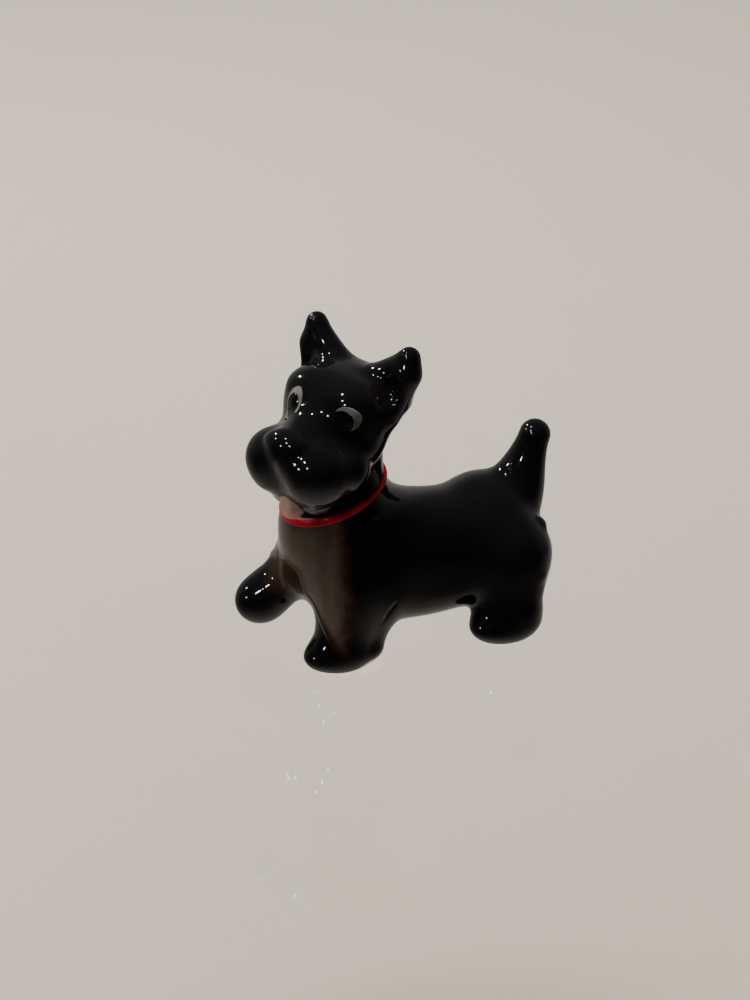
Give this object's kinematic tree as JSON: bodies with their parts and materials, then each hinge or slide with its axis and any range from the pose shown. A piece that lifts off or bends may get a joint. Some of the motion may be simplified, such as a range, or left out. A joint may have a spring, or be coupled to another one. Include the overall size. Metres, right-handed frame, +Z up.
{
  "type": "ceramic dog figurine",
  "caption": "Small glossy black ceramic terrier figurine standing with one foreleg lifted, head turned, red collar and pink tongue.",
  "frame": {"origin": "bottom centre of the bounding box, on the surface the figurine stands on", "axes": "+Z up, -Y towards the front of the dog, +X towards the dog's left side"},
  "size_m": [0.0222, 0.042, 0.0429],
  "materials": {
    "black_glaze": "gloss",
    "red_enamel": "gloss",
    "pink_enamel": "gloss",
    "eye_enamel": "gloss"
  },
  "bodies": {
    "root": {"torso": "black_glaze", "head": "black_glaze", "ear_left": "black_glaze", "ear_right": "black_glaze", "tail": "black_glaze", "foreleg_left": "black_glaze", "foreleg_right": "black_glaze", "hindleg_left": "black_glaze", "hindleg_right": "black_glaze", "nose": "black_glaze", "tongue": "pink_enamel", "collar": "red_enamel", "eye_left": "eye_enamel", "eye_right": "eye_enamel"}
  },
  "joints": []
}
